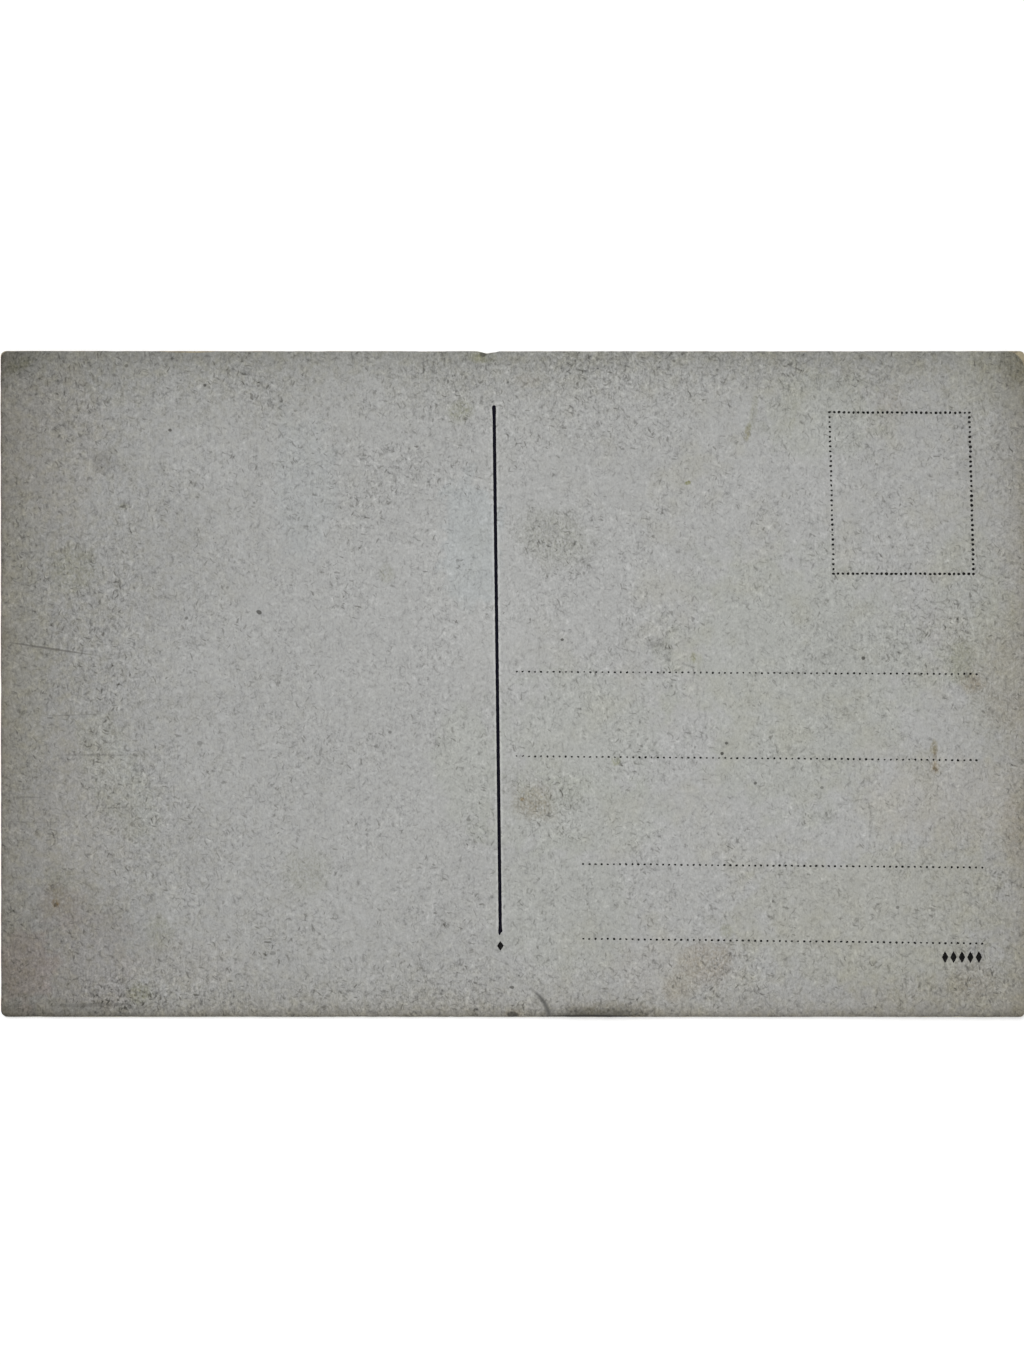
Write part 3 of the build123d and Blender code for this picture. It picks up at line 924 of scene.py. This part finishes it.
def printed_view(settings):
    """Sepia view of no known place: hills and trees by a lake, seen with the card turned over."""
    view = Finish("printed_view", roughness=0.5, specular=0.4)
    across = view.times(view.x, -1.0)
    over_water = view.minus(view.y, HORIZON)
    water = view.ramp(over_water, 0.15, -0.15)
    ripple = view.swing(view.turned(view.place, 0, (16.0, 0.9, 1.0)), 1.0, 3.0, 0.6)
    height = view.mixture(view.math("ABSOLUTE", over_water), (ripple, view.times(water, 5.0)))

    # Sky, with the lightest part over the hills
    clouds = view.noise(view.turned(view.place, 8, (26.0, 8.0, 1.0)), 1.0, 4.0, 0.55)
    tone = view.mix(view.ramp(height, 8.0, 46.0, 0.0, 0.75), settings.cream, DUSK)
    tone = view.mix(view.ramp(clouds, 0.48, 0.72, 0.0, 0.7), tone, settings.cream)

    # Far and near hills, mirrored in the water
    leaves = view.swing(view.place, 0.9, 4.0, 0.65)
    for *line, ink in HILLS:
        under = view.minus(view.plus(hill_line(view, across, *line), leaves), height)
        shade = view.mix(view.ramp(leaves, -0.2, 0.2, 0.0, 0.45), ink, DUSK)
        tone = view.mix(view.ramp(under, 0.0, 0.7), tone, shade)
    tone = view.mix(view.times(water, 0.22), tone, WATER)
    gleam = view.times(water, view.ramp(ripple, 0.02, 0.16, 0.0, 0.5))
    tone = view.mix(gleam, tone, settings.cream)

    # Near bank and trees
    grass = view.swing(view.turned(view.place, 6, (0.7, 2.2, 1.0)), 1.0, 3.0, 0.65)
    foliage = view.mixture(leaves, (grass, 0.6))
    ground = view.mix(view.ramp(foliage, -0.15, 0.2), GRASS_SHADE, GRASS)
    bank = view.mixture(hill_line(view, across, *BANK), (grass, 3.0))
    tone = view.mix(view.ramp(view.minus(bank, view.y), 0.0, 0.6), tone, ground)
    wood = view.math("MINIMUM", view.marks(foliage, VIEW_TREES, ragged=1.6, soft=0.15), 1.0)
    tone = view.mix(wood, tone, view.mix(0.55, ground, LEAF_SHADE))

    # Grain of the printing plate
    plate = view.noise(view.place, 4.5, 1.0, 0.5)
    tone = view.mix(view.ramp(plate, 0.45, 0.8, 0.0, 0.35), tone, settings.cream)
    return view.finished(tone, plate, strength=0.1, depth=0.005)


def printing_ink(name, ink, thin, starved):
    """Matte printing ink that the paper shows through where it is starved."""
    print_ink = Finish(name, roughness=0.7, specular=0.05)
    pulp = print_ink.noise(print_ink.place, 5.0, 2.0, 0.6)
    given = print_ink.node("ShaderNodeAttribute", attribute_name="starved").outputs["Fac"]
    share = print_ink.math("ADD", print_ink.ramp(pulp, 0.50, 0.78, 0.0, starved), given, clamp=True)
    return print_ink.finished(print_ink.mix(share, ink, thin), pulp, strength=0.3, depth=0.01)


# Operators, one for each piece or group of like pieces

class POSTCARD_OT_address_ply(bpy.types.Operator):
    """Make the address side's worn upper ply."""

    bl_idname = "postcard.address_ply"
    bl_label = "Address Ply"

    def execute(self, context):
        settings = context.scene.postcard_paper
        lines_x, lines_y = card_lines(ADDRESS_EDGE_STEP, settings.grid / MM)
        plan = worn_plan(lines_x, lines_y, ADDRESS_FRAY, LINER_FUZZ, seed=3.0, chipped=True)
        low, high = layer("address_ply")
        soft_edge = 0.45
        thinning = 0.7 * (high - low)
        inside = np.minimum(HALF_LENGTH - abs(lines_x[:, None]), HALF_HEIGHT - abs(lines_y[None, :]))
        worn_off = thinning * (1 - np.minimum(inside, soft_edge) / soft_edge) ** 2
        mesh = closed_sheet("address_ply", *plan, worn_off)
        show(mesh, pulp_paper(settings), "address_ply")
        return {"FINISHED"}


def plain_ply(node, fray, fuzz, seed):
    """Worn ply that shows only at its edge or from below."""
    return closed_sheet(node, *worn_plan(*card_lines(EDGE_STEP, PLAIN_STEP), fray, fuzz, seed))


class POSTCARD_OT_core_ply(bpy.types.Operator):
    """Make the pulp ply in the middle, which shows at the cut edge."""

    bl_idname = "postcard.core_ply"
    bl_label = "Core Ply"

    def execute(self, context):
        mesh = plain_ply("core_ply", {}, CORE_FUZZ, seed=13.0)
        show(mesh, raw_pulp(context.scene.postcard_paper), "core_ply", smooth=False)
        return {"FINISHED"}


class POSTCARD_OT_picture_side(bpy.types.Operator):
    """Make the picture side: its paper ply and the printed view on it."""

    bl_idname = "postcard.picture_side"
    bl_label = "Picture Side"

    def execute(self, context):
        settings = context.scene.postcard_paper
        mesh = plain_ply("picture_ply", PICTURE_FRAY, LINER_FUZZ, seed=23.0)
        show(mesh, cream_paper(settings), "picture_ply")
        corner = packed_box("picture_print")[1]
        lines = [grid_lines(half, VIEW_EDGE_STEP, PLAIN_STEP) for half in (corner.x, corner.y)]
        mesh = closed_sheet("picture_print", *np.meshgrid(*lines, indexing="ij"))
        show(mesh, printed_view(settings), "picture_print")
        return {"FINISHED"}


def rule_mesh(start, end, seed):
    """Inked bar with uneven sides and swollen ends, flat on height 0, between places in millimetres."""
    step = 0.12
    half_width, end_swell = 0.24, 0.045
    swell_at, swell_reach = 0.45, 0.4
    taper_length, least_taper = 0.24, 0.06
    slant, slant_reach = 0.18, 0.3
    waviness, unevenness, sides_apart = 1.4, 0.16, 3.0
    half_profile = ((-1.0, 0.0), (-0.86, 0.75), (-0.35, 1.0), (0.35, 1.0), (0.86, 0.75), (1.0, 0.0))
    axis = Vector(end) - Vector(start)
    length = axis.length
    axis.normalize()
    across = Vector((-axis.y, axis.x))
    close = (0.0, 0.05, 0.13)
    far = [length - near for near in reversed(close)]
    first_even, last_gap = 0.25, 0.2
    stations = [*close, *np.arange(first_even, length - last_gap, step), *far]
    points = []
    for along in stations:
        from_end = min(along, length - along)
        swell = half_width + end_swell * math.exp(-((from_end - swell_at) / swell_reach) ** 2)
        taper = math.sqrt(max(least_taper, 1 - max(0.0, 1 - from_end / taper_length) ** 2))
        cut = slant * math.exp(-(((length - along) / slant_reach) ** 2))
        for side, rise in half_profile:
            wave = noise.noise((waviness * along, side * sides_apart, seed))
            edge = swell * taper * (1 + unevenness * wave)
            spot = Vector(start) + axis * (along - cut * side) + across * (side * edge)
            points.append((spot.x * MM, spot.y * MM, rise * INK_FILM * MM))
    mesh = bpy.data.meshes.new("divider_rule_dressed")
    mesh.from_pydata(points, [], tube_faces(0, len(stations), len(half_profile)))
    return mesh


def tube_faces(first, rings, sides):
    """Faces of a closed tube whose rings of points follow one another."""
    faces = []
    for ring in range(rings - 1):
        row = first + ring * sides
        for side in range(sides):
            other = (side + 1) % sides
            faces.append((row + side, row + other, row + sides + other, row + sides + side))
    last = first + (rings - 1) * sides
    faces.append(tuple(reversed(range(first, first + sides))))
    faces.append(tuple(range(last, last + sides)))
    return faces


class POSTCARD_OT_divider_rule(bpy.types.Operator):
    """Print the upright rule between the message half and the address half."""

    bl_idname = "postcard.divider_rule"
    bl_label = "Divider Rule"

    def execute(self, context):
        settings = context.scene.postcard_print
        low, high = packed_box("divider_rule")
        half_end = RULE_END / 2
        mesh = rule_mesh((low.x + half_end, high.y), (high.x - half_end, low.y), settings.seed)
        ink = printing_ink("blue_black_ink", settings.rule_ink, settings.thin_ink, starved=0.10)
        show_print(mesh, ink, "divider_rule")
        return {"FINISHED"}


class DotBench(Bench):
    """Shorthand for a tree of dots, with numbers drawn at random for each dot."""

    def drawn(self, low, high, seed):
        limits = {2: low, 3: high, "Seed": seed}
        return self.node("FunctionNodeRandomValue", limits, data_type="FLOAT").outputs[1]

    def drawn_vector(self, low, high, seed):
        limits = {0: low, 1: high, "Seed": seed}
        return self.node("FunctionNodeRandomValue", limits, data_type="FLOAT_VECTOR").outputs[0]

    def position(self):
        return self.node("GeometryNodeInputPosition").outputs[0]


def dotted_rule_tree():
    """Geometry nodes for a dotted rule: one row of unevenly inked dots."""
    name = "Dotted rule"
    if name in bpy.data.node_groups:
        return bpy.data.node_groups[name]
    tree = new_tree(name, "GeometryNodeTree", {
        "Start": "Vector", "End": "Vector", "Dots": "Int", "Dot size": "Vector", "Wander": "Float",
        "Dry at start": "Float", "Dry at end": "Float", "Seed": "Int", "Ink": "Material",
    }, {"Geometry": "Geometry"})
    bench = DotBench(tree)
    given = bench.node("NodeGroupInput").outputs

    # A flat-bottomed bead, one unit across
    bead = bench.node("GeometryNodeMeshUVSphere", {"Segments": 10, "Rings": 4, "Radius": 0.5})
    x, y, z = bench.split(bench.position())
    rest = bench.join(x, y, bench.math("MAXIMUM", z, 0.0))
    bead = bench.node("GeometryNodeSetPosition", {"Geometry": bead.outputs["Mesh"], "Position": rest})

    # Dots along the rule, each a little out of place, out of round and out of ink
    row = bench.node(
        "GeometryNodeMeshLine",
        {"Count": given["Dots"], "Start Location": given["Start"], "Offset": given["End"]},
        mode="END_POINTS")
    jitter = bench.drawn_vector((-1.0, -1.0, 0.0), (1.0, 1.0, 0.0), given["Seed"])
    shift = bench.stretched(jitter, given["Wander"])
    row = bench.node("GeometryNodeSetPosition", {"Geometry": row.outputs["Mesh"], "Offset": shift})
    uneven = bench.drawn_vector((0.80, 0.78, 0.8), (1.14, 1.16, 1.1), bench.plus(given["Seed"], 1))
    turn = bench.drawn(-0.5, 0.5, bench.plus(given["Seed"], 2))
    chance = bench.drawn(0.0, 1.0, bench.plus(given["Seed"], 3))
    patches_per_metre = 210.0
    patch = bench.noise(bench.position(), patches_per_metre, 1.0, 0.5)
    patch = bench.ramp(patch, 0.42, 0.72, 0.0, 0.6)
    along = bench.math("DIVIDE", bench.node("GeometryNodeInputIndex").outputs[0], given["Dots"])
    change = bench.minus(given["Dry at end"], given["Dry at start"])
    starved = bench.mixture(given["Dry at start"], (along, change))
    dry = bench.times(starved, bench.plus(bench.math("POWER", chance, 2.0), patch))
    size = bench.vector("MULTIPLY", uneven, given["Dot size"])
    dry_shrinkage = 0.22
    size = bench.stretched(size, bench.mixture(1.0, (dry, -dry_shrinkage)))
    row = bench.node(
        "GeometryNodeStoreNamedAttribute",
        {"Geometry": row.outputs[0], "Name": "starved", "Value": dry}, data_type="FLOAT", domain="POINT")
    dots = bench.node("GeometryNodeInstanceOnPoints", {
        "Points": row.outputs[0], "Instance": bead.outputs[0], "Scale": size,
        "Rotation": bench.join(0.0, 0.0, turn)})

    # Ragged outline where the ink met the fibres
    real = bench.node("GeometryNodeRealizeInstances", {0: dots.outputs[0]})
    fibres_per_metre, fray_reach = 5200.0, 0.00012
    fray = bench.stray(bench.position(), fibres_per_metre, fray_reach)
    real = bench.node("GeometryNodeSetPosition", {"Geometry": real.outputs[0], "Offset": fray})
    inked = bench.node(
        "GeometryNodeSetMaterial", {"Geometry": real.outputs[0], "Material": given["Ink"]})
    bench.node("NodeGroupOutput", {0: inked.outputs[0]})
    return tree


def grown(name, tree, inputs):
    """Plain mesh that a geometry node tree makes from its named inputs."""
    seedling = bpy.data.objects.new(name, bpy.data.meshes.new(name + "_empty"))
    bpy.context.scene.collection.objects.link(seedling)
    modifier = seedling.modifiers.new("Nodes", "NODES")
    modifier.node_group = tree
    for item in tree.interface.items_tree:
        if item.item_type == "SOCKET" and item.in_out == "INPUT":
            modifier[item.identifier] = inputs[item.name]
    ready = seedling.evaluated_get(bpy.context.evaluated_depsgraph_get())
    mesh = bpy.data.meshes.new_from_object(ready)
    seedling.modifiers.clear()
    bpy.data.objects.remove(seedling)
    mesh.name = name
    return mesh


def rule_ends(rule):
    """Middle of the first and the last dot of a packed dotted rule, in metres."""
    low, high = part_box(rule.node)
    inset = rule.inset * MM
    upper_left = Vector((low.x + inset, high.y - inset, 0.0))
    lower_right = Vector((high.x - inset, low.y + inset, 0.0))
    return (lower_right, upper_left) if rule.upright else (upper_left, lower_right)


def print_dots(settings, rule, number):
    """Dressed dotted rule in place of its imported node."""
    seeds_per_rule = 10
    ink = dot_ink(settings)
    start, end = rule_ends(rule)
    mesh = grown(rule.node + "_dressed", dotted_rule_tree(), {
        "Start": start, "End": end, "Dots": rule.dots,
        "Dot size": (rule.length * MM, rule.width * MM, 2 * INK_FILM * MM),
        "Wander": rule.wander * MM, "Dry at start": rule.dry_start, "Dry at end": rule.dry_end,
        "Seed": settings.seed + seeds_per_rule * number, "Ink": ink,
    })
    show_print(mesh, ink, rule.node)


def dot_ink(settings):
    """Ink shared by the dotted rules and the ornaments."""
    name = "black_ink"
    if name in bpy.data.materials:
        return bpy.data.materials[name]
    return printing_ink(name, settings.dot_ink, settings.thin_ink, starved=0.25)


class POSTCARD_OT_stamp_box(bpy.types.Operator):
    """Print the four dotted rules of the stamp box."""

    bl_idname = "postcard.stamp_box"
    bl_label = "Stamp Box"

    def execute(self, context):
        for number, rule in enumerate(STAMP_RULES):
            print_dots(context.scene.postcard_print, rule, number)
        return {"FINISHED"}


class POSTCARD_OT_address_lines(bpy.types.Operator):
    """Print the four dotted lines for the address."""

    bl_idname = "postcard.address_lines"
    bl_label = "Address Lines"

    def execute(self, context):
        for number, rule in enumerate(ADDRESS_RULES, start=len(STAMP_RULES)):
            print_dots(context.scene.postcard_print, rule, number)
        return {"FINISHED"}


def lozenge_row(node, count, seed):
    """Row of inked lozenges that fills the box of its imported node, flat on height 0."""
    pitch_to_width = 1.239
    sides = 32
    bulge = 0.9
    usual_reach, waviness, unevenness = 0.97, 2.0, 0.10
    rings = ((0.0, 1.0), (0.8, 0.9), (1.0, 0.7))
    low, high = packed_box(node)
    height = high.y - low.y
    width = (high.x - low.x) / (1 + pitch_to_width * (count - 1))
    pitch = (high.x - low.x - width) / max(1, count - 1)
    points, faces = [], []
    for number in range(count):
        middle = Vector((low.x + width / 2 + number * pitch, (low.y + high.y) / 2))
        faces += tube_faces(len(points), len(rings), sides)
        for rise, share in rings:
            for side in range(sides):
                angle = 2 * math.pi * side / sides
                across, along = math.cos(angle), math.sin(angle)
                wave = noise.noise((waviness * across, waviness * along, seed + number))
                reach = share * (usual_reach + unevenness * wave) / (abs(across) + abs(along)) ** bulge
                spot = middle + Vector((across * reach * width / 2, along * reach * height / 2))
                points.append((spot.x * MM, spot.y * MM, rise * INK_FILM * MM))
    mesh = bpy.data.meshes.new(node + "_dressed")
    mesh.from_pydata(points, [], faces)
    return mesh


class POSTCARD_OT_ornaments(bpy.types.Operator):
    """Print the lozenges under the rule and under the last address line."""

    bl_idname = "postcard.ornaments"
    bl_label = "Ornaments"

    def execute(self, context):
        settings = context.scene.postcard_print
        for node, count in ORNAMENTS.items():
            show_print(lozenge_row(node, count, settings.seed), dot_ink(settings), node)
        return {"FINISHED"}


class POSTCARD_OT_stage(bpy.types.Operator):
    """Set the floor, the soft light and the camera over the card."""

    bl_idname = "postcard.stage"
    bl_label = "Stage"

    def execute(self, context):
        settings = context.scene.postcard_stage
        lay_floor(settings)
        light_card(settings)
        aim_camera(settings)
        context.scene.view_settings.view_transform = "Standard"
        return {"FINISHED"}


def seen_share(bench):
    """1 for rays that show the background itself, 0 for rays that carry its light."""
    path = bench.node("ShaderNodeLightPath").outputs
    mirrored = bench.math("MAXIMUM", path["Is Glossy Ray"], path["Is Transmission Ray"])
    return bench.math("MAXIMUM", path["Is Camera Ray"], mirrored)


def lay_floor(settings):
    """Plain pale floor, topped up to white where the camera sees it."""
    half = 6.0
    below = -0.00002
    seen_level = 1.04
    mesh = bpy.data.meshes.new("floor")
    corners = ((-half, -half), (half, -half), (half, half), (-half, half))
    mesh.from_pydata([(*corner, below) for corner in corners], [], [(0, 1, 2, 3)])
    floor = bpy.data.objects.new("floor", mesh)
    bpy.context.scene.collection.objects.link(floor)
    material = bpy.data.materials.new("floor")
    material.use_nodes = True
    bench = Bench(material.node_tree)
    bench.tree.nodes.clear()
    matte = bench.node("ShaderNodeBsdfDiffuse", {"Color": settings.floor})
    top_up = bench.times(seen_share(bench), seen_level - settings.floor[0])
    glow = bench.node("ShaderNodeEmission", {"Strength": top_up})
    both = bench.node("ShaderNodeAddShader", {0: matte.outputs[0], 1: glow.outputs[0]})
    bench.node("ShaderNodeOutputMaterial", {0: both.outputs[0]})
    mesh.materials.append(material)


def light_card(settings):
    """One broad soft lamp and an even fill, which add up to a plain level."""
    lean, turn, breadth = math.radians(32), math.radians(35), math.radians(70)
    lamp = bpy.data.lights.new("softbox", "SUN")
    lamp.angle = breadth
    breadth_share = (1 + math.cos(breadth / 2)) / 2
    lamp.energy = math.pi * settings.key / (math.cos(lean) * breadth_share)
    softbox = bpy.data.objects.new("softbox", lamp)
    softbox.rotation_euler = (-lean, 0.0, turn)
    bpy.context.scene.collection.objects.link(softbox)
    world = bpy.data.worlds.new("studio")
    world.use_nodes = True
    bench = Bench(world.node_tree)
    bench.tree.nodes.clear()
    strength = bench.ramp(seen_share(bench), 0.0, 1.0, 1.0 - settings.key, 1.0)
    background = bench.node("ShaderNodeBackground", {"Color": (1.0, 1.0, 1.0), "Strength": strength})
    bench.node("ShaderNodeOutputWorld", {0: background.outputs[0]})
    bpy.context.scene.world = world


def aim_camera(settings):
    """Camera straight over the card, its lens set for a frame height of 1365 pixels at 0.1352 mm each.
    """
    frame_height_px = 1365
    mm_per_px = 0.1352
    off_middle_x, off_middle_y = -0.095, 0.203
    lens = bpy.data.cameras.new("camera")
    lens.sensor_width = 36.0
    lens.lens = lens.sensor_width * settings.camera_height / (frame_height_px * mm_per_px * MM)
    camera = bpy.data.objects.new("camera", lens)
    camera.location = (off_middle_x * MM, off_middle_y * MM, settings.camera_height + CARD_TOP * MM)
    bpy.context.scene.collection.objects.link(camera)
    bpy.context.scene.camera = camera


class VIEW3D_PT_postcard(bpy.types.Panel):
    """Buttons and settings of the postcard."""

    bl_label = "Old Postcard"
    bl_space_type = "VIEW_3D"
    bl_region_type = "UI"
    bl_category = "Postcard"

    def draw(self, context):
        for name in SETTINGS:
            group = getattr(context.scene, name)
            box = self.layout.box()
            for key in group.bl_rna.properties.keys():
                if key not in ("rna_type", "name"):
                    box.prop(group, key)
        for operator in OPERATORS:
            self.layout.operator(operator.bl_idname)


OPERATORS = (
    POSTCARD_OT_address_ply,
    POSTCARD_OT_core_ply,
    POSTCARD_OT_picture_side,
    POSTCARD_OT_divider_rule,
    POSTCARD_OT_stamp_box,
    POSTCARD_OT_address_lines,
    POSTCARD_OT_ornaments,
    POSTCARD_OT_stage,
)
SETTINGS = {
    "postcard_paper": PaperSettings,
    "postcard_print": PrintSettings,
    "postcard_stage": StageSettings,
}


def register():
    for name, group in SETTINGS.items():
        bpy.utils.register_class(group)
        setattr(bpy.types.Scene, name, PointerProperty(type=group))
    for operator in OPERATORS:
        bpy.utils.register_class(operator)
    bpy.utils.register_class(VIEW3D_PT_postcard)


def unregister():
    bpy.utils.unregister_class(VIEW3D_PT_postcard)
    for operator in reversed(OPERATORS):
        bpy.utils.unregister_class(operator)
    for name, group in SETTINGS.items():
        delattr(bpy.types.Scene, name)
        bpy.utils.unregister_class(group)


def main():
    register()
    bpy.ops.postcard.address_ply()
    bpy.ops.postcard.core_ply()
    bpy.ops.postcard.picture_side()
    bpy.ops.postcard.divider_rule()
    bpy.ops.postcard.stamp_box()
    bpy.ops.postcard.address_lines()
    bpy.ops.postcard.ornaments()
    bpy.ops.postcard.stage()


if __name__ == "__main__":
    main()
